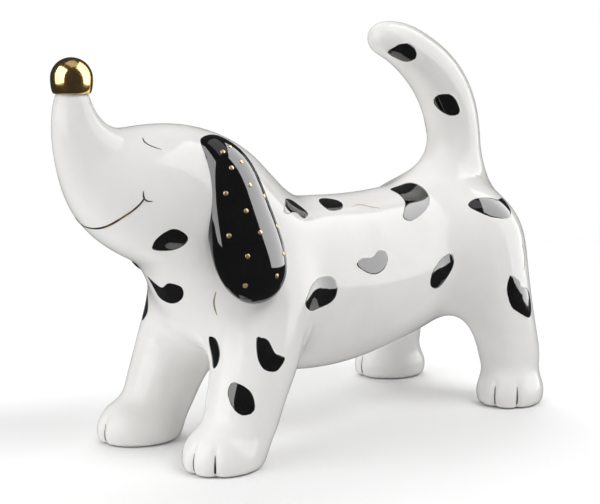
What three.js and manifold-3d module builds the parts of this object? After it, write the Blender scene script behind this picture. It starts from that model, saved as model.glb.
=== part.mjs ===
// Glazed porcelain dog figurine: a fat-bodied puppy that throws its head back and lifts a curled
// tail. Slip-cast hollow ware: torso, head, tail and legs are thin shells, luted together along
// coped seams; ears and nose are solid. Millimetres, +Z up, the dog looks towards -Y and its left
// side is +X. The four flat soles stand on Z = 0 and the model is centred over the origin.
import * as THREE from 'three';
import { ParametricGeometry } from 'three/addons/geometries/ParametricGeometry.js';
import { mergeVertices } from 'three/addons/utils/BufferGeometryUtils.js';
import Module from 'manifold-3d';

const wasm = await Module();
wasm.setup();

// ---------------------------------------------------------------- driving sizes, mm
const WALL = 3.2;               // cast wall of every hollow piece
const SEAM = 0.3;               // luting gap between a piece and the one it is coped to

const BODY_LENGTH = 113;        // chest section to rump section, along the barrel
const BODY_WIDTH = 54;          // widest across the barrel
const BODY_DEPTH = 56;          // deepest from back to belly
const BARREL_HEIGHT = 47;       // axis of the barrel above the ground
const CHEST_CAP = 22;           // how far the chest rounds out in front of its section
const RUMP_CAP = 16;            // how far the rump rounds out behind its section

const HEAD_REACH = 56.8;        // neck root forward to the snout tip
const HEAD_RISE = 52.2;         // neck root up to the snout tip
const NECK_RISE = 14;           // neck root above the barrel axis
const NECK_SET = 2;             // neck root behind the chest section
const HEAD_WIDTH = 50;          // across the cheeks
const HEAD_DEPTH = 47;          // brow to jaw
const SNOUT_RADIUS = 5;         // tip of the snout, under the nose
const NOSE_RADIUS = 6.1;        // widest of the nose ball
const NOSE_HEIGHT = 10.4;       // flat seat of the nose to its crown

const TAIL_ROOT_RADIUS = 16.5;
const TAIL_RADIUS = 9.7;        // middle of the tail
const TAIL_TIP_RADIUS = 5.6;
const TAIL_RISE = 64;           // root centre up to the tip centre
const TAIL_CURL = 39.5;         // furthest back point forward to the tip centre
const TAIL_SET = 7;             // root centre in front of the rump section
const TAIL_BACK = 6.3;          // root centre back to the furthest back point of the tail's axis

const EAR_LENGTH = 35.5;        // top section down to the last section
const EAR_WIDTH = 23.2;         // broadest, near the bottom
const EAR_THICKNESS = 14;
const EAR_RIGHT_LENGTH = 33.5;  // the right ear is a little shorter than the left
const EAR_RIGHT_BACK = 4.5;     // and sits a little further back
const EAR_TURN = 10;            // degrees the face of the ear looks forward

const SHOULDER_RADIUS = 15;
const FORE_ANKLE_RADIUS = 11.8;
const FORE_SHOULDER_X = 15;     // shoulder centre off the middle plane
const FORE_TRACK_X = 21.6;      // paw centre off the middle plane
const FORE_SET = 4;             // shoulder behind the chest section
const FORE_STEP = 20.5;         // paw centre in front of the shoulder
const FORE_PAW_WIDTH = 24.6;
const FORE_PAW_LENGTH = 29.6;
const FORE_PAW_TURN = 16;       // degrees the toes point outwards

const HIP_RADIUS = 18.4;
const HIND_ANKLE_RADIUS = 11;
const HIND_HIP_X = 18;
const HIND_TRACK_X = 29.8;
const HIND_SET = 10;            // hip in front of the rump section
const HIND_STEP = 7.8;          // paw centre behind the hip
const HIND_PAW_WIDTH = 23.6;
const HIND_PAW_LENGTH = 28;
const HIND_PAW_TURN = 22;

const PAW_HEIGHT = 14;          // instep above the ground
const SOLE = 7;                 // clay left under the hollow of each leg
const TOE_LINE_WIDTH = 0.9;
const TOE_LINE_DEPTH = 0.9;
const TOE_LINE_HEIGHT = 7.5;
const TOE_LINE_SPREAD = 17;     // degrees of each toe line off the middle of the paw
const VENT_RADIUS = 2.5;        // firing vents from each hollow into the torso, and in the belly
const NECK_VENT_RADIUS = 7;     // wider passage between head and torso

// ---------------------------------------------------------------- materials
const glaze = (name) => {
  const m = new THREE.MeshStandardMaterial({ color: 0xf4f2ef, roughness: 0.08, metalness: 0 });
  m.name = name;
  return m;
};
const white = glaze('white_glaze');
const black = new THREE.MeshStandardMaterial({ color: 0x0b0a0a, roughness: 0.06, metalness: 0 });
black.name = 'black_glaze';
const gold = new THREE.MeshStandardMaterial({ color: 0xb98a3a, roughness: 0.12, metalness: 1 });
gold.name = 'gold_lustre';

// ---------------------------------------------------------------- solids
const V = (x, y, z) => new THREE.Vector3(x, y, z);
const rad = THREE.MathUtils.degToRad;
const CAP_RINGS = 4;            // rings that round the end of a loft

// A closed solid from any closed surface; one that winds inwards is turned right side out.
function toSolid(geometry) {
  const g = geometry.clone();
  for (const key of Object.keys(g.attributes)) if (key !== 'position') g.deleteAttribute(key);
  const merged = mergeVertices(g, 1e-4);
  const tris = [];
  const idx = merged.index.array;
  for (let i = 0; i < idx.length; i += 3) {
    const [p, q, r] = [idx[i], idx[i + 1], idx[i + 2]];
    if (p !== q && q !== r && r !== p) tris.push(p, q, r);
  }
  const at = (i) => new THREE.Vector3().fromBufferAttribute(merged.attributes.position, i);
  let volume = 0;
  for (let i = 0; i < tris.length; i += 3) {
    volume += at(tris[i]).dot(at(tris[i + 1]).cross(at(tris[i + 2])));
  }
  if (volume < 0) tris.reverse();
  return new wasm.Manifold(new wasm.Mesh({
    numProp: 3,
    vertProperties: new Float32Array(merged.attributes.position.array),
    triVerts: new Uint32Array(tris),
  }));
}

function toGeometry(solid) {
  const mesh = solid.getMesh();
  const g = new THREE.BufferGeometry();
  g.setAttribute('position', new THREE.BufferAttribute(mesh.vertProperties, 3));
  g.setIndex(new THREE.BufferAttribute(mesh.triVerts, 1));
  const flat = g.toNonIndexed();
  flat.computeVertexNormals();
  return flat;
}

// A section is an ellipse: centre c, half axes p and q as vectors. A loft is a smooth skin
// through a list of sections; cap rounds an end outwards by that depth, zero leaves it flat.
const grown = (v, by) => v.clone().setLength(Math.max(v.length() + by, 0.05));

function loft(sections, { around, along, grow = 0, from = 0, to = 1, capFrom = 0, capTo = 0 }) {
  const curve = (key) => new THREE.CatmullRomCurve3(sections.map((s) => s[key]), false, 'catmullrom', 0.5);
  const [centre, axisP, axisQ] = ['c', 'p', 'q'].map(curve);
  const ring = (t) => ({
    c: centre.getPoint(t),
    p: grown(axisP.getPoint(t), grow),
    q: grown(axisQ.getPoint(t), grow),
  });
  const zero = V(0, 0, 0);
  const capped = (t, depth, sign) => {
    const end = ring(t);
    const out = centre.getTangent(t).multiplyScalar(sign * Math.max(depth + grow, 0.1));
    const rings = [];
    for (let i = 1; i < CAP_RINGS; i++) {
      const a = (i / CAP_RINGS) * Math.PI / 2;
      rings.push({
        c: end.c.clone().addScaledVector(out, Math.sin(a)),
        p: end.p.clone().multiplyScalar(Math.cos(a)),
        q: end.q.clone().multiplyScalar(Math.cos(a)),
      });
    }
    rings.push({ c: end.c.clone().add(out), p: zero, q: zero });
    return rings;
  };
  const rings = [];
  for (let i = 0; i <= along; i++) rings.push(ring(from + (to - from) * i / along));
  const head = capFrom ? capped(from, capFrom, -1).reverse() : [{ c: rings[0].c, p: zero, q: zero }];
  const tail = capTo ? capped(to, capTo, 1) : [{ c: rings[along].c, p: zero, q: zero }];
  const all = [...head, ...rings, ...tail];
  const skin = new ParametricGeometry((u, v, out) => {
    const r = all[Math.round(v * (all.length - 1))];
    const a = (Math.round(u * around) % around) / around * Math.PI * 2;
    out.copy(r.c).addScaledVector(r.p, Math.cos(a)).addScaledVector(r.q, Math.sin(a));
  }, around, all.length - 1);
  return toSolid(skin);
}

// a round rod between two points
function rod(a, b, radius) {
  const g = new THREE.CylinderGeometry(radius, radius, a.distanceTo(b), 12);
  g.applyQuaternion(new THREE.Quaternion().setFromUnitVectors(V(0, 1, 0), b.clone().sub(a).normalize()));
  g.translate((a.x + b.x) / 2, (a.y + b.y) / 2, (a.z + b.z) / 2);
  return toSolid(g);
}
const without = (solid, cutters) => cutters.reduce((s, c) => s.subtract(c), solid);

// ---------------------------------------------------------------- torso: a barrel, chest to rump
const chestY = -BODY_LENGTH / 2;
const rumpY = BODY_LENGTH / 2;
const torsoAt = ([s, lift, w, d]) => ({
  c: V(0, chestY + s * BODY_LENGTH, BARREL_HEIGHT + lift),
  p: V(w * BODY_WIDTH / 2, 0, 0),
  q: V(0, 0, d * BODY_DEPTH / 2),
});
const torsoSections = [
  // along, lift of the axis, share of width, share of depth
  [0.00, 7.0, 0.78, 0.79],
  [0.15, 3.5, 0.93, 0.98],
  [0.41, 1.0, 1.00, 1.03],
  [0.68, 3.5, 0.95, 0.95],
  [0.89, 9.0, 0.82, 0.82],
  [1.00, 12.5, 0.66, 0.66],
].map(torsoAt);
const torsoLoft = (grow, around = 28, along = 11) => loft(torsoSections, {
  around, along, grow, capFrom: CHEST_CAP, capTo: RUMP_CAP,
});

// ------------------------------------------- head: neck, cheeks and a snout that curves straight up
const neckRoot = V(0, chestY + NECK_SET, BARREL_HEIGHT + NECK_RISE);
const headAt = ([reach, rise, w, d, lean]) => ({
  c: neckRoot.clone().add(V(0, -reach * HEAD_REACH, rise * HEAD_RISE)),
  p: V(w * HEAD_WIDTH / 2, 0, 0),
  q: V(0, Math.sin(rad(lean)), Math.cos(rad(lean))).multiplyScalar(d * HEAD_DEPTH / 2),
});
const snoutShareW = SNOUT_RADIUS / (HEAD_WIDTH / 2);
const neckShare = 0.815 * BODY_WIDTH / HEAD_WIDTH;     // the neck is as wide as the chest it grows from
const snoutShareD = SNOUT_RADIUS / (HEAD_DEPTH / 2);
const headSections = [
  // reach forward, rise, share of width, share of depth, lean of the section from upright in degrees
  [0.00, 0.00, neckShare, 0.94, 66],
  [0.07, 0.17, (1 + neckShare) / 2, 1.03, 49],
  [0.26, 0.34, 1.00, 1.01, 28],
  [0.47, 0.41, 0.96, 0.91, 15],
  [0.683, 0.471, 0.76, 0.74, 20],
  [0.825, 0.575, 0.52, 0.553, 42],
  [0.932, 0.713, 0.345, 0.396, 68],
  [0.995, 0.87, 1.24 * snoutShareW, 1.24 * snoutShareD, 84],
  [1.00, 1.00, snoutShareW, snoutShareD, 90],
].map(headAt);
const headLoft = (grow, around = 24, along = 20, to = 1) => loft(headSections, {
  around, along, grow, to, capTo: to < 1 ? 6 : 0,
});

// ---------------------------------------------------------------- nose: an egg with a flat seat
const snoutTip = headSections.at(-1).c;
const noseProfile = [[0, 0], [0.82, 0], [0.93, 0.12], [0.995, 0.3], [0.985, 0.5], [0.87, 0.71],
  [0.66, 0.87], [0.36, 0.97], [0, 1]].map(([r, h]) => new THREE.Vector2(r * NOSE_RADIUS, h * NOSE_HEIGHT));
const noseGeometry = new THREE.LatheGeometry(noseProfile, 24);
noseGeometry.rotateX(Math.PI / 2);
noseGeometry.translate(snoutTip.x, snoutTip.y, snoutTip.z + SEAM);
const nose = toSolid(noseGeometry);

// ---------------------------------------------------------------- tail: rises, then curls forward
const tailRoot = V(0, rumpY - TAIL_SET, BARREL_HEIGHT + 19);
const tailAt = ([curl, rise, r, lean]) => ({
  c: tailRoot.clone().add(V(0, TAIL_BACK - curl * TAIL_CURL, rise * TAIL_RISE)),
  p: V(r, 0, 0),
  q: V(0, Math.cos(rad(lean)), Math.sin(rad(lean))).multiplyScalar(r),
});
const tailSections = [
  // forward from the furthest back point, rise, radius, tilt of the section from level in degrees
  [0.20, 0.00, TAIL_ROOT_RADIUS, -25],
  [0.05, 0.20, 1.24 * TAIL_RADIUS, -16],
  [0.00, 0.39, TAIL_RADIUS, 5],
  [0.08, 0.61, 1.01 * TAIL_RADIUS, 24],
  [0.27, 0.78, 0.97 * TAIL_RADIUS, 44],
  [0.54, 0.90, 0.86 * TAIL_RADIUS, 62],
  [0.82, 0.98, 0.71 * TAIL_RADIUS, 73],
  [1.00, 1.00, TAIL_TIP_RADIUS, 82],
].map(tailAt);
const tailLoft = (grow, around = 20, along = 16, to = 1, capTo = TAIL_TIP_RADIUS) => loft(tailSections, {
  around, along, grow, to, capTo,
});

// ------------------------------------- legs: one column each, widening into a paw with a flat sole
// columnShape: drop from shoulder to ankle, and the share of the way that x, y and radius have gone
const columnShape = [[0, 0, 0, 0], [0.36, 0.45, 0.29, 0.26], [0.71, 0.85, 0.71, 0.88], [1, 1, 1, 1]];
// pawShape: height share of the instep, share of the heel offset, share of width, share of length
const pawShape = [[0.71, 0.3, 0.975, 0.92], [0.43, 0, 1, 1], [0.14, 0, 1, 1], [0, 0, 0.94, 0.95]];

function leg({ side, x, y, z, radius, ankle, trackX, pawY, heel, width, length, turn, ventTo }) {
  const crown = 0.85 * radius;                          // how far the shoulder domes upwards
  const out = rad(turn) * side;
  const across = V(Math.cos(out), Math.sin(out), 0);
  const ahead = V(Math.sin(out), -Math.cos(out), 0);
  const paw = V(side * trackX, pawY, 0);
  const ankleAt = paw.clone().addScaledVector(ahead, -heel).setZ(PAW_HEIGHT);
  const column = columnShape.map(([drop, sx, sy, sr]) => {
    const r = THREE.MathUtils.lerp(radius, ankle, sr);
    return {
      c: V(
        THREE.MathUtils.lerp(side * x, ankleAt.x, sx),
        THREE.MathUtils.lerp(y, ankleAt.y, sy),
        THREE.MathUtils.lerp(z, PAW_HEIGHT, drop),
      ),
      p: across.clone().multiplyScalar(r),
      q: ahead.clone().multiplyScalar(r),
    };
  });
  const foot = pawShape.map(([h, back, w, l]) => ({
    c: paw.clone().addScaledVector(ahead, -back * heel).setZ(h * PAW_HEIGHT),
    p: across.clone().multiplyScalar(w * width / 2),
    q: ahead.clone().multiplyScalar(l * length / 2),
  }));
  const sections = [...column, ...foot];
  const hollowEnd = 3.4 / (sections.length - 1);        // just under the ankle section
  const hollowFloor = THREE.MathUtils.lerp(PAW_HEIGHT, foot[0].c.z, 0.4);
  const whole = (grow) => loft(sections, { around: 20, along: 14, grow, capFrom: crown });
  const outer = whole(0);
  const outerWithSeam = whole(SEAM);
  const hollow = loft(sections, {
    around: 12, along: 6, grow: -WALL, to: hollowEnd, capFrom: crown, capTo: hollowFloor - SOLE + WALL,
  });
  const toeLines = [-TOE_LINE_SPREAD, TOE_LINE_SPREAD].map((degrees) => {
    const a = rad(degrees);
    const edge = paw.clone()
      .addScaledVector(across, Math.sin(a) * width / 2)
      .addScaledVector(ahead, Math.cos(a) * length / 2);
    const blade = new THREE.BoxGeometry(TOE_LINE_WIDTH, 2 * TOE_LINE_DEPTH, TOE_LINE_HEIGHT + 1);
    blade.rotateZ(out + a);
    blade.translate(edge.x, edge.y, (TOE_LINE_HEIGHT - 1) / 2);
    return toSolid(blade);
  });
  const vent = rod(column[1].c.clone().lerp(column[2].c, 0.4), ventTo, VENT_RADIUS);
  return { outer, outerWithSeam, hollow, toeLines, vent };
}

const foreLeg = (side) => leg({
  side, x: FORE_SHOULDER_X, y: chestY + FORE_SET, z: BARREL_HEIGHT + 3,
  radius: SHOULDER_RADIUS, ankle: FORE_ANKLE_RADIUS,
  trackX: FORE_TRACK_X, pawY: chestY + FORE_SET - FORE_STEP, heel: 6.5,
  width: FORE_PAW_WIDTH, length: FORE_PAW_LENGTH, turn: FORE_PAW_TURN,
  ventTo: V(0, chestY + FORE_SET, BARREL_HEIGHT + 3),
});
const hindLeg = (side) => leg({
  side, x: HIND_HIP_X, y: rumpY - HIND_SET, z: BARREL_HEIGHT + 12,
  radius: HIP_RADIUS, ankle: HIND_ANKLE_RADIUS,
  trackX: HIND_TRACK_X, pawY: rumpY - HIND_SET + HIND_STEP, heel: 1,
  width: HIND_PAW_WIDTH, length: HIND_PAW_LENGTH, turn: HIND_PAW_TURN,
  ventTo: V(0, rumpY - HIND_SET, BARREL_HEIGHT + 9),
});

// ------------------------------------------ ears: thick leaves that hang from the sides of the head
const cheek = headSections[2].c;
function earLoft(side, length, setBack) {
  const face = V(side * Math.sin(rad(EAR_TURN)), Math.cos(rad(EAR_TURN)), 0);
  const shape = [
    // drop, distance from the middle plane, set back, share of thickness, share of width
    [0.00, 0.62 * HEAD_WIDTH / 2, -3.3, 0.75, 0.48],
    [0.15, 0.81 * HEAD_WIDTH / 2, -1.3, 0.90, 0.70],
    [0.45, HEAD_WIDTH / 2 - 1.3, 0.6, 1.00, 0.89],
    [0.72, HEAD_WIDTH / 2 + 0.6, 2.5, 1.00, 0.99],
    [0.92, HEAD_WIDTH / 2 + 2.2, 4.0, 0.98, 1.00],
    [1.00, HEAD_WIDTH / 2 + 3.2, 5.1, 0.89, 0.90],
  ];
  const centres = shape.map(([drop, x, back]) => V(
    side * x, cheek.y - 1.8 + back + setBack, cheek.z + 0.72 * HEAD_DEPTH / 2 - drop * length,
  ));
  const sections = shape.map(([, , , thick, wide], i) => {
    const ahead = centres[Math.min(i + 1, centres.length - 1)];
    const behind = centres[Math.max(i - 1, 0)];
    const p = face.clone().cross(ahead.clone().sub(behind)).normalize();
    return {
      c: centres[i],
      p: p.multiplyScalar(thick * EAR_THICKNESS / 2),
      q: face.clone().multiplyScalar(wide * EAR_WIDTH / 2),
    };
  });
  return loft(sections, { around: 18, along: 12, capFrom: 4.5, capTo: 0.43 * EAR_WIDTH });
}

// ---------------------------------------------------------------- coping, hollows and vents
const torsoOuter = torsoLoft(0);
const torsoWithSeam = torsoLoft(SEAM);
const headWithSeam = headLoft(SEAM);
const tailWithSeam = tailLoft(SEAM);
const fore = { left: foreLeg(1), right: foreLeg(-1) };
const hind = { left: hindLeg(1), right: hindLeg(-1) };
const legs = [fore.left, fore.right, hind.left, hind.right];

const neckVent = rod(cheek.clone(), V(0, chestY + 12, BARREL_HEIGHT + 3), NECK_VENT_RADIUS);
const tailVent = rod(
  tailSections[1].c.clone().lerp(tailSections[2].c, 0.4), V(0, rumpY - 14, BARREL_HEIGHT + 9), VENT_RADIUS,
);
const bellyVent = rod(V(0, 0, BARREL_HEIGHT), V(0, 0, 0), VENT_RADIUS);
const torso = without(torsoOuter, [torsoLoft(-WALL, 20, 8), neckVent, tailVent, bellyVent, ...legs.map((l) => l.vent)]);
const head = without(headLoft(0), [headLoft(-WALL, 18, 10, 0.72), torsoWithSeam]);
const tail = without(tailLoft(0), [tailLoft(-WALL, 14, 7, 0.6, TAIL_RADIUS), torsoWithSeam]);
const legPiece = (l) => without(l.outer, [
  l.hollow, ...l.toeLines, torsoWithSeam, headWithSeam, tailWithSeam,
]);
const earPiece = (side, length, setBack) => without(earLoft(side, length, setBack), [
  headWithSeam, torsoWithSeam, fore.left.outerWithSeam, fore.right.outerWithSeam,
]);

// ---------------------------------------------------------------- the scene graph
const dog = new THREE.Group();
dog.name = 'dog_figurine';
const add = (name, solid, material) => {
  const mesh = new THREE.Mesh(toGeometry(solid), material);
  mesh.name = name;
  dog.add(mesh);
};
add('torso_shell', torso, white);
add('head_shell', head, white);
add('tail_shell', tail, white);
add('front_left_leg', legPiece(fore.left), white);
add('front_right_leg', legPiece(fore.right), white);
add('rear_left_leg', legPiece(hind.left), white);
add('rear_right_leg', legPiece(hind.right), white);
add('ear_left', earPiece(1, EAR_LENGTH, 0), black);
add('ear_right', earPiece(-1, EAR_RIGHT_LENGTH, EAR_RIGHT_BACK), black);
add('nose', nose, gold);

const box = new THREE.Box3().setFromObject(dog);
const middle = box.getCenter(new THREE.Vector3());
dog.position.set(-middle.x, -middle.y, -box.min.z);

export default dog;
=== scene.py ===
"""Glazed porcelain puppy: one continuous glazed body, black ears, gold nose and hand-painted marks.

Lengths below are millimetres in the dog's own frame (Y = 0 near the middle of the barrel, the dog
looks to -Y, its left side is +X); place() turns them into metres in the row frame.
"""
import math

import bmesh
import bpy
import numpy as np
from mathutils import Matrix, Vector


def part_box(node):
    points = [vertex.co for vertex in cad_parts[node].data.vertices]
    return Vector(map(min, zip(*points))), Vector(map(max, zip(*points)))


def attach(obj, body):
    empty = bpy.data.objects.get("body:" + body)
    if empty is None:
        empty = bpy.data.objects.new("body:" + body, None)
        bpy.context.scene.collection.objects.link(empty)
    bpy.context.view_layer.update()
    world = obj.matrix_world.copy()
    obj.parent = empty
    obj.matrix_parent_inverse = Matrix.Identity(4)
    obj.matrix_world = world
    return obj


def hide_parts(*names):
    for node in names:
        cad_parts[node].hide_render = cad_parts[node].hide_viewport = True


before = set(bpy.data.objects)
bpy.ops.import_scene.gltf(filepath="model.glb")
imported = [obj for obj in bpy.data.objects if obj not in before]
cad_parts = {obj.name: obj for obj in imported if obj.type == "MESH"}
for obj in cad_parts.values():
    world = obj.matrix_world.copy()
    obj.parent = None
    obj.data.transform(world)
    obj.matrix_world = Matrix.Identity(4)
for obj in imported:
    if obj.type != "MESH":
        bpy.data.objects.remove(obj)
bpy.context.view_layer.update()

# ------------------------------------------------------------------ where the dog stands
nose_low, nose_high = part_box("nose")
NOSE_Y = -101.8
SHIFT_Y = (nose_low.y + nose_high.y) * 500 - NOSE_Y


def place(p):
    """Dog frame, mm -> row frame, m."""
    p = np.asarray(p, float)
    return (p + np.array([0, SHIFT_Y, 0])) / 1000


# ------------------------------------------------------------------ anatomy, mm
# stations of a body part: y, z, half width, half depth
TORSO = [(-47, 54, 21, 22), (-30, 50.5, 25, 27.4), (0, 48, 27, 29), (30, 51, 25.6, 26.6),
         (54, 56, 22.2, 23), (66, 59.5, 17.5, 18)]
HEAD = [(-101.8, 113.2, 5.0, 5.0), (-101.5, 106.5, 6.2, 6.2), (-98.2, 98.1, 8.6, 9.0),
        (-92.0, 90.6, 13, 12.6), (-83.8, 85.5, 19, 17.2), (-72, 82.4, 24, 21.6),
        (-60, 79, 25, 23.6), (-49, 70, 23.5, 24.2), (-45, 61, 22, 22.5)]
TAIL = [(59, 66, 14, 14), (64, 79, 11, 11), (65.3, 91, 9.7, 9.7), (62.2, 105, 9.8, 9.8),
        (54.6, 116, 9.4, 9.4), (44, 123.8, 8.3, 8.3), (33, 128.8, 6.9, 6.9), (25.8, 130, 5.6, 5.6)]
# stations of a leg: x, y, z, radius
FORE_LEG = [(15, -43, 50, 15), (18, -47, 37, 14.4), (20.2, -53, 23, 12.3), (21.2, -58, 10, 11.4)]
HIND_LEG = [(17.5, 56.5, 60, 18.4), (22.5, 58.5, 44, 15), (27.2, 62, 29, 11.4), (29.2, 64.6, 14, 11.0)]
# paws: centre, half sizes, outward turn, outward angles of the two toe lines
FORE_PAW = ((21.6, -64.2, 3.5), (12.2, 14.0, 11.0), 16, (5, 39))
HIND_PAW = ((29.9, 63.6, 4.0), (11.8, 14.0, 11.0), 22, (14, 52))
# stations of the left ear: x, y, z, half thickness, half width
EAR = [(15.5, -64.9, 95.7, 5.2, 5.6), (20.3, -62.9, 90.2, 6.3, 8.2), (23.7, -61.0, 79.6, 7.0, 10.3),
       (25.6, -59.1, 70.1, 7.0, 11.5), (27.2, -57.6, 63.2, 6.8, 11.6), (28.2, -56.5, 60.2, 6.2, 10.5)]
EAR_TURN = 10
EAR_PIVOT = (27.0, -59.5)
# the right ear is a little shorter and sits further back
RIGHT_EAR_TOP, RIGHT_EAR_FOOT, RIGHT_EAR_BACK = 95.7, 62.2, 4.5


# ------------------------------------------------------------------ smooth implicit form
def spline(stations, step):
    """Natural cubic through the stations, resampled about every step mm along the centre line."""
    s = np.asarray(stations, float)
    length = np.r_[0, np.cumsum(np.linalg.norm(np.diff(s[:, :3], axis=0), axis=1))]
    n = len(s)
    h = np.diff(length)
    A = np.eye(n)
    rhs = np.zeros_like(s)
    for i in range(1, n - 1):
        A[i, i - 1], A[i, i], A[i, i + 1] = h[i - 1], 2 * (h[i - 1] + h[i]), h[i]
        rhs[i] = 6 * ((s[i + 1] - s[i]) / h[i] - (s[i] - s[i - 1]) / h[i - 1])
    m = np.linalg.solve(A, rhs)
    t = np.linspace(0, length[-1], max(8, int(length[-1] / step)))
    i = np.clip(np.searchsorted(length, t, side="right") - 1, 0, n - 2)
    u = (t - length[i])[:, None]
    w = (length[i + 1] - t)[:, None]
    hi = h[i][:, None]
    out = (m[i] * w ** 3 + m[i + 1] * u ** 3) / (6 * hi)
    out += (s[i] / hi - m[i] * hi / 6) * w + (s[i + 1] / hi - m[i + 1] * hi / 6) * u
    return out, t[1] - t[0]


class Chain:
    """A swept ellipsoid: distance-like field of many overlapping ellipsoids, softly joined."""

    def __init__(self, stations, soft, step=1.0, power=2.0):
        s = np.asarray(stations, float)
        if s.shape[1] == 4:
            s = np.insert(s, 0, 0.0, axis=1)
        self.samples, self.ds = spline(s, step)
        self.samples = self.samples.astype(np.float32)
        self.soft, self.power = soft, power

    def __call__(self, x, y, z):
        total = np.zeros_like(x)
        for cx, cy, cz, a, b in self.samples:
            u = np.abs(x - cx) * np.float32(b / a)
            v2 = (y - cy) ** 2 + (z - cz) ** 2
            if self.power == 2.0:
                d = np.sqrt(u * u + v2) - b
            else:
                p = np.float32(self.power)
                d = (u ** p + v2 ** (p / 2)) ** (1 / p) - b
            weight = np.float32(self.ds / math.sqrt(2 * math.pi * self.soft * b))
            total += weight * np.exp(-np.minimum(d, 60) / np.float32(self.soft))
        return -self.soft * np.log(np.maximum(total, 1e-30))


def blend(a, b, k):
    """Union of two fields with a fillet of width k."""
    h = np.clip(0.5 + 0.5 * (b - a) / k, 0, 1)
    return b + (a - b) * h - k * h * (1 - h)


def as_leg(stations):
    return [(x, y, z, r, r) for x, y, z, r in stations]


torso_f, head_f, tail_f = Chain(TORSO, 2.0, 2.0), Chain(HEAD, 1.2), Chain(TAIL, 1.0)
legs_f = [(Chain(as_leg(FORE_LEG), 1.2, 1.5), FORE_PAW), (Chain(as_leg(HIND_LEG), 1.2, 1.5), HIND_PAW)]


def paw_field(x, y, z, paw):
    """Distance-like field of the ellipsoid of a paw."""
    (cx, cy, cz), (rx, ry, rz), turn, _ = paw
    t = math.radians(turn)
    u = (x - cx) * math.cos(t) + (y - cy) * math.sin(t)
    v = -(x - cx) * math.sin(t) + (y - cy) * math.cos(t)
    w = z - cz
    k0 = np.sqrt((u / rx) ** 2 + (v / ry) ** 2 + (w / rz) ** 2)
    k1 = np.sqrt((u / rx ** 2) ** 2 + (v / ry ** 2) ** 2 + (w / rz ** 2) ** 2)
    return k0 * (k0 - 1) / np.maximum(k1, 1e-6)


def toe_grooves(x, y, z, paw):
    """Depth of the pressed lines that part the toes."""
    (cx, cy, _), _, _, angles = paw
    depth = np.zeros_like(x)
    for degrees in angles:
        t = math.radians(degrees)
        across = (x - cx) * math.cos(t) + (y - cy) * math.sin(t)
        ahead = (x - cx) * math.sin(t) - (y - cy) * math.cos(t)
        on = np.clip((ahead - 6) / 3, 0, 1) * np.clip((10.5 - z) / 5, 0, 1)
        depth = np.maximum(depth, on * (0.75 * np.exp(-(across / 0.95) ** 2)
                                        + 0.35 * np.exp(-(across / 2.2) ** 2)))
    return depth


def body_field(P):
    """The whole white body, the same on the left and the right."""
    x, y, z = (np.ascontiguousarray(P[..., i], dtype=np.float32) for i in range(3))
    mx = np.abs(x)
    d = blend(torso_f(x, y, z), head_f(x, y, z), 15)
    d = blend(d, tail_f(x, y, z), 17)
    for leg, paw in legs_f:
        limb = blend(leg(mx, y, z), paw_field(mx, y, z, paw), 4)
        d = blend(d, limb, 10) + toe_grooves(mx, y, z, paw)
    return -blend(-d, z, 1.6)        # flat soles with a small round at the edge


ear_chain = Chain(EAR, 0.5, 0.8, power=2.05)


def right_ear(z):
    """Height on the left ear -> height on the right ear."""
    return RIGHT_EAR_TOP + (z - EAR[0][2]) * (RIGHT_EAR_TOP - RIGHT_EAR_FOOT) / (EAR[0][2] - EAR[-1][2])


def ear_field(P, side):
    """One ear: side is 1 on the left and -1 on the right."""
    x = np.ascontiguousarray(P[..., 0] * side, dtype=np.float32) - EAR_PIVOT[0]
    y = np.ascontiguousarray(P[..., 1], dtype=np.float32) - EAR_PIVOT[1]
    z = np.ascontiguousarray(P[..., 2], dtype=np.float32)
    if side < 0:
        y = y - RIGHT_EAR_BACK
        z = EAR[0][2] + (z - RIGHT_EAR_TOP) / (right_ear(1) - right_ear(0))
    t = math.radians(EAR_TURN)
    u = x * math.cos(t) - y * math.sin(t)
    v = x * math.sin(t) + y * math.cos(t)
    return ear_chain((u + EAR_PIVOT[0]).astype(np.float32), (v + EAR_PIVOT[1]).astype(np.float32), z)


def slope(field, P, e=0.12):
    """Gradient by tetrahedral differences."""
    k = np.array([[1, -1, -1], [-1, -1, 1], [-1, 1, -1], [1, 1, 1]], float)
    return sum(ki * field(P + ki * e)[:, None] for ki in k) / (4 * e)


def settle(field, P, rounds=3):
    """Moves points onto the surface field = 0; returns them with their outward normals."""
    P = np.array(P, float)
    for _ in range(rounds):
        g = slope(field, P)
        P -= field(P)[:, None] * g / np.maximum((g * g).sum(1), 0.05)[:, None]
    g = slope(field, P)
    return P, g / np.linalg.norm(g, axis=1)[:, None]


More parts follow.
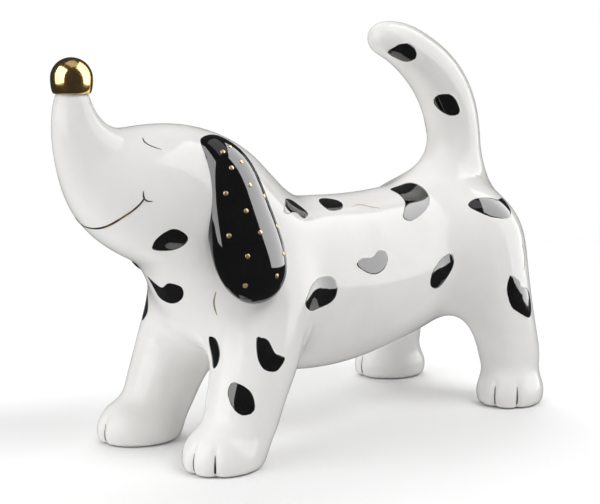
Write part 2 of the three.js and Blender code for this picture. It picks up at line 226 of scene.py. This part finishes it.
def surface(field, low, high, h):
    """Quads over field = 0: one vertex per crossed cell, one quad per crossed grid edge."""
    low, high = np.array(low, float), np.array(high, float)
    axes = [np.arange(low[i], high[i] + h, h) for i in range(3)]
    F = field(np.stack(np.meshgrid(*axes, indexing="ij"), -1))
    cells = tuple(n - 1 for n in F.shape)
    sums = np.zeros((int(np.prod(cells)), 4))
    quads = []
    for ax in range(3):
        near = [slice(None)] * 3
        far = [slice(None)] * 3
        near[ax], far[ax] = slice(0, -1), slice(1, None)
        f0, f1 = F[tuple(near)], F[tuple(far)]
        crossed = (f0 < 0) != (f1 < 0)
        idx, a, b = np.argwhere(crossed), f0[crossed], f1[crossed]
        pos = idx.astype(float)
        pos[:, ax] += a / (a - b)
        p, q = [(1, 2), (2, 0), (0, 1)][ax]
        corners = []
        for dp, dq in ((-1, -1), (0, -1), (0, 0), (-1, 0)):
            cell = idx.copy()
            cell[:, p] += dp
            cell[:, q] += dq
            flat = np.ravel_multi_index(cell.T, cells)
            corners.append(flat)
            for i in range(3):
                sums[:, i] += np.bincount(flat, pos[:, i], len(sums))
            sums[:, 3] += np.bincount(flat, None, len(sums))
        quad = np.stack(corners, 1)
        quad[a > 0] = quad[a > 0][:, ::-1]
        quads.append(quad)
    Q = np.concatenate(quads)
    used = np.unique(Q)
    back = np.full(len(sums), -1)
    back[used] = np.arange(len(used))
    return sums[used, :3] / sums[used, 3:4] * h + low, back[Q]


# ------------------------------------------------------------------ meshes
def mesh_object(name, verts, faces, materials):
    me = bpy.data.meshes.new(name)
    me.from_pydata([tuple(v) for v in place(verts)], [], [tuple(int(i) for i in f) for f in faces])
    me.validate()
    ob = bpy.data.objects.new(name, me)
    bpy.context.scene.collection.objects.link(ob)
    for m in materials:
        me.materials.append(m)
    me.polygons.foreach_set("use_smooth", [True] * len(me.polygons))
    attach(ob, "root")
    return ob


def refined(verts, quads, field, fine):
    """Splits every quad in four, and once more where fine(middle) says, then settles on the field."""
    bm = bmesh.new()
    vs = [bm.verts.new(v) for v in verts]
    for q in quads:
        bm.faces.new([vs[i] for i in q])
    bmesh.ops.subdivide_edges(bm, edges=bm.edges[:], cuts=1, use_grid_fill=True)
    if fine is not None:
        chosen = {e for f in bm.faces if fine(f.calc_center_median()) for e in f.edges}
        bmesh.ops.subdivide_edges(bm, edges=list(chosen), cuts=1, use_grid_fill=True)
    bm.verts.index_update()
    P = np.array([v.co[:] for v in bm.verts])
    F = [[v.index for v in f.verts] for f in bm.faces]
    bm.free()
    P, _ = settle(field, P)
    return P, F


# ------------------------------------------------------------------ materials
def material(name, build):
    m = bpy.data.materials.new(name)
    m.use_nodes = True
    nt = m.node_tree
    bsdf = nt.nodes["Principled BSDF"]
    build(nt, bsdf)
    return m


def noise(nt, scale, detail=2.0, rough=0.5, distortion=0.0):
    coord = nt.nodes.new("ShaderNodeTexCoord")
    n = nt.nodes.new("ShaderNodeTexNoise")
    n.inputs["Scale"].default_value = scale
    n.inputs["Detail"].default_value = detail
    n.inputs["Roughness"].default_value = rough
    n.inputs["Distortion"].default_value = distortion
    nt.links.new(coord.outputs["Object"], n.inputs["Vector"])
    return n.outputs["Fac"]


def ramp(nt, fac, stops):
    r = nt.nodes.new("ShaderNodeValToRGB")
    r.color_ramp.elements[0].position, r.color_ramp.elements[0].color = stops[0][0], (*stops[0][1], 1)
    r.color_ramp.elements[1].position, r.color_ramp.elements[1].color = stops[-1][0], (*stops[-1][1], 1)
    for pos, col in stops[1:-1]:
        r.color_ramp.elements.new(pos).color = (*col, 1)
    nt.links.new(fac, r.inputs["Fac"])
    return r.outputs["Color"]


def bump(nt, bsdf, fac, strength, distance, coat=False):
    b = nt.nodes.new("ShaderNodeBump")
    b.inputs["Strength"].default_value = strength
    b.inputs["Distance"].default_value = distance
    nt.links.new(fac, b.inputs["Height"])
    nt.links.new(b.outputs["Normal"], bsdf.inputs["Normal"])
    if coat:
        nt.links.new(b.outputs["Normal"], bsdf.inputs["Coat Normal"])


def deep_gloss(bsdf):
    """The wet-looking coat of the two blacks."""
    bsdf.inputs["Specular IOR Level"].default_value = 0.1
    bsdf.inputs["Coat Weight"].default_value = 1.0
    bsdf.inputs["Coat IOR"].default_value = 1.75
    bsdf.inputs["Coat Roughness"].default_value = 0.03


def white_glaze(nt, bsdf):
    """Milky porcelain under clear glaze: faint warm and cool drifts, slightly uneven gloss."""
    nt.links.new(ramp(nt, noise(nt, 38, 3, 0.55, 0.4), [
        (0.30, (0.795, 0.782, 0.762)), (0.52, (0.835, 0.825, 0.808)), (0.75, (0.855, 0.85, 0.84))]),
        bsdf.inputs["Base Color"])
    nt.links.new(ramp(nt, noise(nt, 55, 2), [(0.3, (0.10,) * 3), (0.7, (0.16,) * 3)]),
                 bsdf.inputs["Roughness"])
    bsdf.inputs["Subsurface Weight"].default_value = 0.15
    bsdf.inputs["Subsurface Radius"].default_value = (1.0, 0.85, 0.7)
    bsdf.inputs["Subsurface Scale"].default_value = 0.002
    bsdf.inputs["Specular IOR Level"].default_value = 0.12
    bsdf.inputs["Coat Weight"].default_value = 0.25
    bsdf.inputs["Coat Roughness"].default_value = 0.05
    bump(nt, bsdf, noise(nt, 70, 1.5), 0.05, 0.002, coat=True)


def bisque(nt, bsdf):
    """Bare fired clay where the dog stood in the kiln."""
    nt.links.new(ramp(nt, noise(nt, 600, 4), [
        (0.35, (0.60, 0.57, 0.52)), (0.6, (0.70, 0.67, 0.62)), (0.8, (0.74, 0.72, 0.68))]),
        bsdf.inputs["Base Color"])
    bsdf.inputs["Roughness"].default_value = 0.85
    bump(nt, bsdf, noise(nt, 2500, 3), 0.4, 0.0002)


def black_enamel(nt, bsdf):
    """Brushed-on black, glossy, a little thinner and browner in places."""
    nt.links.new(ramp(nt, noise(nt, 160, 3, 0.6), [
        (0.35, (0.0040, 0.0038, 0.0040)), (0.6, (0.0075, 0.0072, 0.0076)), (0.8, (0.012, 0.0112, 0.011))]),
        bsdf.inputs["Base Color"])
    nt.links.new(ramp(nt, noise(nt, 120, 2), [(0.3, (0.05,) * 3), (0.7, (0.09,) * 3)]),
                 bsdf.inputs["Roughness"])
    deep_gloss(bsdf)
    bump(nt, bsdf, noise(nt, 110, 1.5), 0.05, 0.002, coat=True)


def black_glaze(nt, bsdf):
    """Poured black glaze of the ears."""
    nt.links.new(ramp(nt, noise(nt, 60, 3, 0.6), [
        (0.35, (0.0030, 0.0030, 0.0032)), (0.8, (0.007, 0.0066, 0.0066))]), bsdf.inputs["Base Color"])
    nt.links.new(ramp(nt, noise(nt, 90, 2), [(0.3, (0.04,) * 3), (0.7, (0.08,) * 3)]),
                 bsdf.inputs["Roughness"])
    deep_gloss(bsdf)
    bump(nt, bsdf, noise(nt, 80, 1.5), 0.04, 0.002, coat=True)


def gold_lustre(nt, bsdf):
    """Bright gold fired over glaze, thinner and browner in clouds."""
    nt.links.new(ramp(nt, noise(nt, 170, 3, 0.6), [
        (0.30, (0.62, 0.38, 0.12)), (0.55, (0.84, 0.58, 0.24)), (0.80, (0.94, 0.74, 0.40))]),
        bsdf.inputs["Base Color"])
    bsdf.inputs["Metallic"].default_value = 1.0
    nt.links.new(ramp(nt, noise(nt, 260, 2), [(0.3, (0.11,) * 3), (0.7, (0.19,) * 3)]),
                 bsdf.inputs["Roughness"])
    bump(nt, bsdf, noise(nt, 200, 1.5), 0.06, 0.001)


def gold_dot(nt, bsdf):
    """Dull gold of a small raised dot."""
    nt.links.new(ramp(nt, noise(nt, 900, 2), [
        (0.3, (0.42, 0.31, 0.15)), (0.7, (0.66, 0.53, 0.32))]), bsdf.inputs["Base Color"])
    bsdf.inputs["Metallic"].default_value = 0.75
    bsdf.inputs["Roughness"].default_value = 0.32
    bump(nt, bsdf, noise(nt, 1500, 2), 0.2, 0.0002)


def brown_stroke(nt, bsdf):
    """Thin brushed gold that fired brown, darker where the brush pooled."""
    nt.links.new(ramp(nt, noise(nt, 220, 3, 0.6), [
        (0.35, (0.030, 0.018, 0.008)), (0.55, (0.10, 0.062, 0.026)), (0.75, (0.30, 0.20, 0.09))]),
        bsdf.inputs["Base Color"])
    bsdf.inputs["Metallic"].default_value = 0.35
    bsdf.inputs["Roughness"].default_value = 0.3
    bump(nt, bsdf, noise(nt, 1200, 2), 0.2, 0.0002)


def ink(nt, bsdf):
    """Dark line fired into a groove, brown where it thins."""
    nt.links.new(ramp(nt, noise(nt, 260, 3, 0.6), [
        (0.35, (0.006, 0.005, 0.004)), (0.6, (0.022, 0.014, 0.007)), (0.8, (0.12, 0.075, 0.03))]),
        bsdf.inputs["Base Color"])
    bsdf.inputs["Roughness"].default_value = 0.3
    bump(nt, bsdf, noise(nt, 1200, 2), 0.2, 0.0002)


def pale_stroke(nt, bsdf):
    """Thin gold wash of the fur strokes, nearly lost on the white."""
    nt.links.new(ramp(nt, noise(nt, 300, 3, 0.6), [
        (0.35, (0.30, 0.24, 0.16)), (0.6, (0.46, 0.38, 0.27)), (0.8, (0.62, 0.54, 0.41))]),
        bsdf.inputs["Base Color"])
    bsdf.inputs["Metallic"].default_value = 0.3
    bsdf.inputs["Roughness"].default_value = 0.35
    bump(nt, bsdf, noise(nt, 1200, 2), 0.2, 0.0002)


WHITE = material("white_glaze", white_glaze)
BISQUE = material("bisque_sole", bisque)
ENAMEL = material("black_enamel", black_enamel)
BLACK = material("black_glaze", black_glaze)
GOLD = material("gold_lustre", gold_lustre)
DOT = material("gold_dots", gold_dot)
BROWN = material("brown_strokes", brown_stroke)
INK = material("dark_strokes", ink)
PALE = material("pale_strokes", pale_stroke)

# ------------------------------------------------------------------ camera, at the picture's angle
camera_data = bpy.data.cameras.new("camera")
camera_data.sensor_width = 36
camera_data.lens = 84
camera_data.clip_start = 0.01
camera = bpy.data.objects.new("camera", camera_data)
bpy.context.scene.collection.objects.link(camera)
AZIMUTH, ELEVATION, DISTANCE = math.radians(47.1), math.radians(8.3), 0.470
AIM = (0, -12.4, 58.7)
aim = Vector(place(AIM))
away = Vector((math.sin(AZIMUTH) * math.cos(ELEVATION), -math.cos(AZIMUTH) * math.cos(ELEVATION),
               math.sin(ELEVATION)))
camera.location = aim + away * DISTANCE
camera.rotation_euler = away.to_track_quat("Z", "Y").to_euler()
bpy.context.scene.camera = camera

# ------------------------------------------------------------------ glazed body
BODY_CELL, EAR_CELL = 1.9, 1.2
TOES_UP_TO = 11           # the mesh is finer below this height, where the toe lines are
SOLE_LIMIT = 0.00012      # m: faces lower than this are bare clay
verts, quads = surface(body_field, (-48, -112, -3), (48, 96, 142), BODY_CELL)
verts, faces = refined(verts, quads, body_field, lambda c: 0.2 < c.z < TOES_UP_TO)
body = mesh_object("glazed_body", verts, faces, [WHITE, BISQUE])
for poly in body.data.polygons:
    if all(body.data.vertices[i].co.z < SOLE_LIMIT for i in poly.vertices):
        poly.material_index = 1
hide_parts("torso_shell", "head_shell", "tail_shell", "front_left_leg", "front_right_leg",
            "rear_left_leg", "rear_right_leg")

# ------------------------------------------------------------------ ears
for side, node in ((1, "ear_left"), (-1, "ear_right")):
    span = sorted((side * 8, side * 38))
    verts, quads = surface(lambda P: ear_field(P, side), (span[0], -82, 42), (span[1], -34, 110), EAR_CELL)
    verts, faces = refined(verts, quads, lambda P: ear_field(P, side), None)
    ear = mesh_object(f"{node}_glazed", verts, faces, [BLACK])
    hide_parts(node)

# ------------------------------------------------------------------ nose: an egg turned about +Z
SEAT, EQUATOR, NOSE_R, NOSE_H = 5.0, 4.4, 6.1, 10.4
turn = np.linspace(0, math.pi / 2, 16)
outline = [(0, 0, 0), (SEAT, 0, 0)]
outline += [(SEAT + (NOSE_R - SEAT) * math.sin(a) ** 0.8, 0, EQUATOR * (1 - math.cos(a))) for a in turn[1:]]
outline += [(NOSE_R * math.cos(a), 0, EQUATOR + (NOSE_H - EQUATOR) * math.sin(a)) for a in turn[1:]]
outline = np.array(outline)
TURNS = 64
seat_z = nose_low.z * 1000
nose_verts = [(0, NOSE_Y, seat_z)]
for r, _, z in outline[1:-1]:
    nose_verts += [(r * math.cos(2 * math.pi * i / TURNS), NOSE_Y + r * math.sin(2 * math.pi * i / TURNS),
                    seat_z + z) for i in range(TURNS)]
nose_verts.append((0, NOSE_Y, seat_z + outline[-1][2]))
rows = len(outline) - 2
nose_faces = [(0, 1 + (i + 1) % TURNS, 1 + i) for i in range(TURNS)]
for j in range(rows - 1):
    for i in range(TURNS):
        a, b = 1 + j * TURNS + i, 1 + j * TURNS + (i + 1) % TURNS
        nose_faces.append((a, b, b + TURNS, a + TURNS))
top = len(nose_verts) - 1
nose_faces += [(top - TURNS + i, top - TURNS + (i + 1) % TURNS, top) for i in range(TURNS)]
nose = mesh_object("nose_ball", nose_verts, nose_faces, [GOLD])
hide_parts("nose")


# ------------------------------------------------------------------ painted marks
def tangent_frame(n):
    """Right and up on the surface, seen from outside."""
    ref = np.array([0, 0, 1.0]) if abs(n[2]) < 0.9 else np.array([0, -1.0, 0])
    up = ref - (ref @ n) * n
    up /= np.linalg.norm(up)
    return np.cross(up, n), up


def lens(name, flat, rings_of):
    """A thin closed patch of enamel: rings_of maps (ring, step) to flat offsets, laid on the body."""
    (centre, right, up), rings, around = flat, *rings_of.shape[:2]
    pts = centre + rings_of[..., 0:1] * right + rings_of[..., 1:2] * up
    skin, n = settle(body_field, np.vstack([centre[None], pts.reshape(-1, 3)]), rounds=4)
    fall = 1 - np.linspace(1 / rings, 1, rings) ** 6
    rise = np.r_[ENAMEL_HEIGHT, np.repeat(ENAMEL_HEIGHT * fall - 0.02, around)]
    upper, lower = skin + n * rise[:, None], skin - n * 0.25
    count = len(skin)
    faces = []
    for base, flip in ((0, False), (count, True)):
        part = [(base, base + 1 + i, base + 1 + (i + 1) % around) for i in range(around)]
        for j in range(rings - 1):
            for i in range(around):
                a = base + 1 + j * around + i
                b = base + 1 + j * around + (i + 1) % around
                part.append((a, a + around, b + around, b))
        faces += [f[::-1] for f in part] if flip else part
    rim = 1 + (rings - 1) * around
    faces += [(rim + i, count + rim + i, count + rim + (i + 1) % around, rim + (i + 1) % around)
              for i in range(around)]
    mesh_object(name, np.vstack([upper, lower]), faces, [ENAMEL])


EDGE_POINTS = 48          # round the outline of a mark
CURVE_STEPS = 6           # between two corners of a shaped outline
MARK_RINGS = 8            # from the middle of a mark to its edge
ENAMEL_HEIGHT = 0.10
WOBBLE = 0.03             # unsteadiness of the brush


def spot(name, at, a, b, angle, egg, dents):
    """A hand-painted blob: half sizes a and b, turned by angle; egg widens the +a end, and each
    dent (direction in degrees, depth, width in degrees) presses the outline in or out."""
    t = np.linspace(0, 2 * math.pi, EDGE_POINTS, endpoint=False)
    seed = sum(ord(c) for c in name)
    r = 1 + WOBBLE * (np.sin(3 * t + seed) + 0.6 * np.sin(5 * t + 2.1 * seed))
    for direction, depth, width in dents:
        gap = (np.degrees(t) - direction + 180) % 360 - 180
        r *= 1 - depth * np.exp(-(gap / width) ** 2)
    u = a * r * np.cos(t)
    v = b * r * np.sin(t) * (1 + egg * np.cos(t))
    c, s = math.cos(math.radians(angle)), math.sin(math.radians(angle))
    painted(name, at, np.stack([u * c - v * s, u * s + v * c], -1))


def shape(name, at, corners):
    """A painted mark with its own outline: a smooth closed curve through a few points."""
    p = np.array(corners, float)
    before, after, beyond = np.roll(p, 1, 0), np.roll(p, -1, 0), np.roll(p, -2, 0)
    edge = []
    for t in np.linspace(0, 1, CURVE_STEPS, endpoint=False):
        edge.append(0.5 * (2 * p + (after - before) * t + (2 * before - 5 * p + 4 * after - beyond) * t ** 2
                           + (3 * p - 3 * after + beyond - before) * t ** 3))
    painted(name, at, np.stack(edge, 1).reshape(-1, 2))


def painted(name, at, edge):
    """Lays the enamel of one mark on the body; edge holds its outline in mm, right and up."""
    start, n = settle(body_field, np.array([at], float), rounds=6)
    right, up = tangent_frame(n[0])
    scale = np.linspace(1 / MARK_RINGS, 1, MARK_RINGS)[:, None, None]
    lens(f"spot_{name}", (start[0], right, up), scale * edge[None])


SPOTS = [
    # name, place, half length, half width, turn, egg, dents
    ("cheek_left", (16.9, -80.5, 70.3), 5.9, 4.2, 33, 0.25, ()),
    ("shoulder_right", (-23.5, -59.4, 43.5), 5.6, 4.4, 80, 0.1, ()),
    ("foreleg_left_inner", (15.2, -62.6, 34.7), 5.6, 2.9, 112, -0.1, ((0, 0.1, 40),)),
    ("foreleg_left_low", (28.2, -63.0, 22.3), 5.9, 3.7, 128, -0.25, ()),
    ("back_top", (9.9, -7.6, 75.6), 5.8, 4.3, 127, -0.22, ()),
    ("flank_fore", (27.1, -29.1, 49.8), 10.0, 5.0, 8, 0.06, ((150, 0.08, 24), (45, -0.08, 22))),
    ("flank_hind", (25.6, 30.4, 50.5), 7.7, 4.3, 42, -0.1, ((90, 0.08, 20),)),
    ("tail_tip_left", (5.2, 31.3, 125.0), 5.9, 3.9, 176, -0.3, ()),
    ("tail_mid_left", (6.7, 53.6, 106.3), 5.8, 3.8, 148, 0.12, ()),
    # the side away from the camera
    ("cheek_right", (-18.5, -77.0, 73.0), 5.2, 3.8, 150, 0.2, ()),
    ("nape_right", (-15.0, -40.0, 84.0), 6.6, 4.2, 20, 0.1, ((80, 0.35, 30),)),
    ("flank_right_fore", (-27.0, -24.0, 56.0), 7.4, 4.8, 150, 0.1, ()),
    ("flank_right_mid", (-26.5, 3.0, 43.0), 6.8, 5.0, 30, 0.0, ((60, 0.36, 26),)),
    ("flank_right_hind", (-25.5, 26.0, 59.0), 6.2, 4.2, 70, -0.1, ()),
    ("back_right", (-12.0, 10.0, 75.0), 6.4, 4.4, 40, 0.1, ()),
    ("rump_right", (-27.0, 50.0, 66.0), 7.0, 4.6, 160, 0.1, ((100, 0.3, 24),)),
    ("hindleg_right", (-36.0, 60.0, 40.0), 6.6, 4.2, 60, 0.1, ()),
    ("hindleg_right_back", (-31.0, 76.0, 27.0), 4.6, 3.2, 100, 0.0, ()),
    ("hindleg_left_back", (30.0, 76.0, 33.0), 5.4, 3.6, 75, 0.1, ()),
    ("rump_back", (-6.0, 80.0, 60.0), 6.4, 4.6, 25, 0.0, ((90, 0.34, 26),)),
    ("tail_back_low", (3.0, 74.0, 86.0), 5.4, 3.8, 80, 0.1, ()),
    ("tail_back_high", (-3.0, 66.0, 114.0), 4.8, 3.6, 120, 0.0, ()),
    ("tail_right", (-8.0, 60.0, 98.0), 5.0, 3.6, 40, 0.1, ()),
    ("tail_tip_right", (-6.0, 38.0, 124.0), 4.6, 3.2, 10, 0.2, ()),
    ("foreleg_right_outer", (-31.0, -50.0, 33.0), 6.4, 4.2, 60, 0.0, ((110, 0.4, 30),)),
    ("foreleg_right_low", (-29.0, -58.0, 19.0), 4.8, 3.4, 130, 0.1, ()),
    ("foreleg_left_back", (21.0, -37.0, 24.0), 4.8, 3.4, 100, 0.1, ()),
]
for name, at, a, b, angle, egg, dents in SPOTS:
    spot(name, at, a, b, angle, egg, dents)

# The larger marks that are no plain blob: place, and the outline in mm to the right and up.
shape("chest", (0.9, -69.9, 52.1),
      [(-7, 5), (-3, 3), (0, 2), (4, 4), (8, 3), (9, 1), (7, -2), (2, -4), (-4, -3), (-6, 0)])
shape("foreleg_left_outer", (31.0, -54.0, 34.3),
      [(-4, 6), (-2, 6), (0, 5), (2, 1), (4, 0), (6, -1), (5, -3), (2, -5), (-2, -4), (-4, 0)])
shape("nape_left", (18.6, -32.3, 76.4),
      [(-8, 0), (-6, 2), (-2, 4), (4, 3), (8, 0), (9, -3), (6, -4), (3, -4), (1, -2), (-2, -1), (-6, -1)])
shape("back_comma", (11.8, 30.0, 74.6),
      [(-4, 9), (1, 12), (7, 12), (9, 5), (7, -2), (2, -7), (-5, -11), (-9, -12), (-11, -10), (-8, -6),
       (-5, -2), (-4, 3)])
shape("rump_left", (26.2, 55.0, 69.8),
      [(-11, 2), (-7, 4), (0, 3), (3, 2), (8, 4), (9, 1), (7, -4), (3, -7), (-4, -6), (-9, -2)])
shape("flank_heart", (25.6, -3.4, 57.0),
      [(-8, 0), (-5, 2), (0, 2), (4, 4), (7, 3), (7, 0), (4, -3), (0, -4), (-4, -3)])
shape("hindleg_left", (37.4, 57.3, 39.6),
      [(-4, 8), (-2, 8), (1, 6), (2, 4), (6, 3), (9, 0), (9, -5), (6, -8), (1, -6), (-3, -3), (-5, 3)])


def stroke(name, points, width, mat, taper=0.25, belly=0.5):
    """A tapering brush line through points on the body; belly is where it is fullest, 0 to 1."""
    path, _ = spline([(*p, 0, 0) for p in points], 0.35) if len(points) > 2 else (
        np.linspace((*points[0], 0, 0), (*points[-1], 0, 0), 16), 0)
    skin, n = settle(body_field, path[:, :3], rounds=5)
    along = np.gradient(skin, axis=0)
    along /= np.linalg.norm(along, axis=1)[:, None]
    across = np.cross(n, along)
    t = np.linspace(0, 1, len(skin))
    fall = np.where(t < belly, t / belly, (1 - t) / (1 - belly))
    half = width / 2 * (taper + (1 - taper) * np.sin(fall * math.pi / 2))
    lift = [(-1.0, 0.0), (-0.6, 0.09), (0.0, 0.13), (0.6, 0.09), (1.0, 0.0), (0.6, -0.2), (-0.6, -0.2)]
    ring = np.stack([skin + across * (half * k)[:, None] + n * h for k, h in lift], 1)
    m, w = ring.shape[:2]
    faces = [tuple(range(w)), tuple((m - 1) * w + i for i in reversed(range(w)))]
    for j in range(m - 1):
        for i in range(w):
            a, b = j * w + i, j * w + (i + 1) % w
            faces.append((a, a + w, b + w, b))
    mesh_object(f"stroke_{name}", ring.reshape(-1, 3), faces, [mat])


SMILE = [(17.8, -89.9, 83.7), (17.0, -90.8, 82.2), (13.4, -93.6, 78.7), (8.5, -95.4, 75.8),
         (3.0, -96.3, 74.2)]
smile = SMILE + [(0, -96.6, 73.9)] + [(-x, y, z) for x, y, z in reversed(SMILE)]
stroke("smile", smile, 0.72, BROWN, taper=0.7)
for side, word in ((1, "left"), (-1, "right")):
    def s(points):
        return [(side * x, y, z) for x, y, z in points]
    stroke(f"smile_tick_up_{word}", s([(17.9, -89.8, 83.4), (17.6, -90.0, 84.6), (17.5, -89.9, 86.0)]),
           0.55, BROWN, 0.35, 0.2)
    stroke(f"smile_tick_out_{word}", s([(17.8, -89.9, 83.7), (18.2, -89.2, 83.1), (19.2, -87.9, 82.9)]),
           0.5, BROWN, 0.35, 0.2)
    stroke(f"closed_eye_{word}", s([(10.0, -84.2, 100.8), (11.3, -84.8, 99.6), (13.0, -84.2, 98.6),
                                    (15.4, -81.6, 97.4)]), 0.5, BROWN, 0.3, 0.25)
    for paw, (low_z, high_z) in ((FORE_PAW, (0.6, 7.0)), (HIND_PAW, (0.6, 8.2))):
        (cx, cy, _), (rx, ry, _), _, angles = paw
        for k, degrees in enumerate(angles):
            t = math.radians(degrees)
            points = [(cx + math.sin(t) * ry, cy - math.cos(t) * ry, z)
                      for z in np.linspace(high_z, low_z, 5)]
            tag = f"{'fore' if cy < 0 else 'hind'}_{word}_{k}"
            stroke(f"toe_{tag}", s(points), 1.0, INK, 0.15, 0.9)
stroke("shoulder", [(17.5, -63.4, 53.4), (16.5, -63.4, 49.9), (16.9, -62.6, 46.1)], 0.6, PALE, 0.3)
stroke("back", [(12.2, 0.0, 74.3), (11.5, 4.4, 74.6), (12.8, 8.0, 73.6), (14.0, 11.5, 72.9)], 0.5, PALE, 0.3)
stroke("tail_root", [(14.0, 61.0, 80.3), (14.5, 65.4, 78.6), (13.5, 70.1, 76.8)], 0.5, PALE, 0.3)
stroke("rump", [(34.3, 61.4, 57.5), (35.4, 62.6, 52.9), (36.5, 61.2, 48.9)], 0.5, PALE, 0.3)
stroke("tail_edge", [(5.5, 50.0, 127.0), (6.0, 53.5, 124.8), (6.3, 56.5, 122.5)], 0.6, PALE, 0.3)
stroke("head_top", [(3.0, -64.5, 103.6), (5.2, -60.5, 102.8), (8.0, -58.0, 101.8)], 0.5, PALE, 0.3)

# ------------------------------------------------------------------ gold dots on the ears
DOTS = [(23.2, -61.8, 98.4), (23.6, -65.2, 96.8), (26.6, -60.5, 93.5), (26.9, -64.6, 91.9),
        (28.1, -68.0, 84.6), (29.2, -59.7, 86.5), (29.1, -54.1, 82.8), (30.5, -62.4, 79.1),
        (30.4, -51.3, 73.4), (31.5, -58.6, 72.3), (29.9, -68.5, 72.2), (31.7, -63.2, 65.9),
        (31.4, -51.4, 65.0), (32.0, -54.4, 59.6), (31.3, -63.6, 57.3)]
DOT_SIDES = 14
DOT_RINGS = [(0.75, -0.3), (0.75, 0.02), (0.62, 0.14), (0.34, 0.22)]     # radius, height
DOT_ROOT, DOT_TOP = 0.3, 0.25
for side, word in ((1, "left"), (-1, "right")):
    starts = np.array([(x, y, z) if side > 0 else (-x, y + RIGHT_EAR_BACK, right_ear(z))
                       for x, y, z in DOTS], float)
    pts, normals = settle(lambda P: ear_field(P, side), starts, rounds=6)
    verts, faces = [], []
    for p, n in zip(pts, normals):
        right, up = tangent_frame(n)
        base = len(verts)
        verts.append(p - n * DOT_ROOT)
        for r, h in DOT_RINGS:
            for i in range(DOT_SIDES):
                a = 2 * math.pi * i / DOT_SIDES
                verts.append(p + right * (r * math.cos(a)) + up * (r * math.sin(a)) + n * h)
        verts.append(p + n * DOT_TOP)
        faces += [(base, base + 1 + (i + 1) % DOT_SIDES, base + 1 + i) for i in range(DOT_SIDES)]
        for j in range(len(DOT_RINGS) - 1):
            for i in range(DOT_SIDES):
                a = base + 1 + j * DOT_SIDES + i
                b = base + 1 + j * DOT_SIDES + (i + 1) % DOT_SIDES
                faces.append((a, b, b + DOT_SIDES, a + DOT_SIDES))
        tip = base + 1 + len(DOT_RINGS) * DOT_SIDES
        last = tip - DOT_SIDES
        faces += [(last + i, last + (i + 1) % DOT_SIDES, tip) for i in range(DOT_SIDES)]
    mesh_object(f"ear_{word}_dots", np.array(verts), faces, [DOT])

# ------------------------------------------------------------------ floor, light
floor_mesh = bpy.data.meshes.new("floor")
REACH = 1.2               # m, half the side of the floor
corners = [(-REACH, -REACH, 0), (REACH, -REACH, 0), (REACH, REACH, 0), (-REACH, REACH, 0)]
floor_mesh.from_pydata(corners, [], [(0, 1, 2, 3)])
floor = bpy.data.objects.new("floor", floor_mesh)
bpy.context.scene.collection.objects.link(floor)
floor.location.z = -0.0002
floor.visible_glossy = False


def pale_floor(nt, bsdf):
    """Matt near-white table top that melts into the white surroundings."""
    bsdf.inputs["Base Color"].default_value = (0.88, 0.88, 0.88, 1)
    bsdf.inputs["Roughness"].default_value = 0.7
    coord = nt.nodes.new("ShaderNodeTexCoord")
    span = nt.nodes.new("ShaderNodeMapping")
    span.inputs["Scale"].default_value = (1.2, 1.2, 1.2)
    ball = nt.nodes.new("ShaderNodeTexGradient")
    ball.gradient_type = "SPHERICAL"
    nt.links.new(coord.outputs["Object"], span.inputs["Vector"])
    nt.links.new(span.outputs["Vector"], ball.inputs["Vector"])
    fade = nt.nodes.new("ShaderNodeMapRange")
    fade.interpolation_type = "SMOOTHSTEP"
    fade.inputs["From Min"].default_value = 0.25
    fade.inputs["From Max"].default_value = 0.72
    nt.links.new(ball.outputs["Fac"], fade.inputs["Value"])
    nt.links.new(fade.outputs["Result"], bsdf.inputs["Alpha"])


floor_mesh.materials.append(material("pale_floor", pale_floor))

# White surroundings for the camera; gloss meets a dark studio with three cards of light in it.
SEEN, GLOSSY, AMBIENT = 1.0, 0.05, 0.14
world = bpy.data.worlds.new("studio")
world.use_nodes = True
wt = world.node_tree
paths = wt.nodes.new("ShaderNodeLightPath")
strength = None
for ray, share in (("Is Camera Ray", SEEN), ("Is Glossy Ray", GLOSSY)):
    step = wt.nodes.new("ShaderNodeMath")
    step.operation = "MULTIPLY_ADD"
    wt.links.new(paths.outputs[ray], step.inputs[0])
    step.inputs[1].default_value = share - AMBIENT
    if strength is None:
        step.inputs[2].default_value = AMBIENT
    else:
        wt.links.new(strength, step.inputs[2])
    strength = step.outputs[0]
wt.links.new(strength, wt.nodes["Background"].inputs["Strength"])
wt.nodes["Background"].inputs["Color"].default_value = (1, 1, 1, 1)
bpy.context.scene.world = world
bpy.context.scene.view_settings.view_transform = "Standard"


def softbox(name, azimuth, elevation, width, height, radiance, glossy=False, distance=1.1):
    """A card of light round the dog: azimuth 0 stands in front (-Y), 90 at the dog's left (+X).
    It either lights the dog or is seen in its gloss."""
    data = bpy.data.lights.new(name, "AREA")
    data.shape = "RECTANGLE"
    data.size, data.size_y = width, height
    data.energy = radiance * math.pi * width * height
    ob = bpy.data.objects.new(name, data)
    bpy.context.scene.collection.objects.link(ob)
    a, e = math.radians(azimuth), math.radians(elevation)
    out = Vector((math.sin(a) * math.cos(e), -math.cos(a) * math.cos(e), math.sin(e)))
    ob.location = Vector(place((0, -10, 60))) + out * distance
    ob.rotation_euler = out.to_track_quat("Z", "Y").to_euler()
    ob.visible_camera = False
    ob.visible_glossy = glossy
    ob.visible_diffuse = not glossy


softbox("soft_left", -12, 24, 1.15, 1.15, 2.0)
softbox("soft_side_top", 105, 52, 0.8, 0.5, 5.4)
softbox("soft_back", 230, 40, 1.0, 1.0, 2.4)
softbox("soft_top", 90, 88, 1.2, 1.2, 0.4)
softbox("soft_far_side", -80, 35, 1.0, 1.0, 0.6)
softbox("card_right", 147, 31, 1.12, 1.42, 4.0, glossy=True, distance=0.95)
softbox("card_left", -12, 24, 1.0, 1.0, 3.0, glossy=True, distance=0.95)
softbox("card_top", 90, 88, 0.7, 0.7, 0.55, glossy=True, distance=0.95)
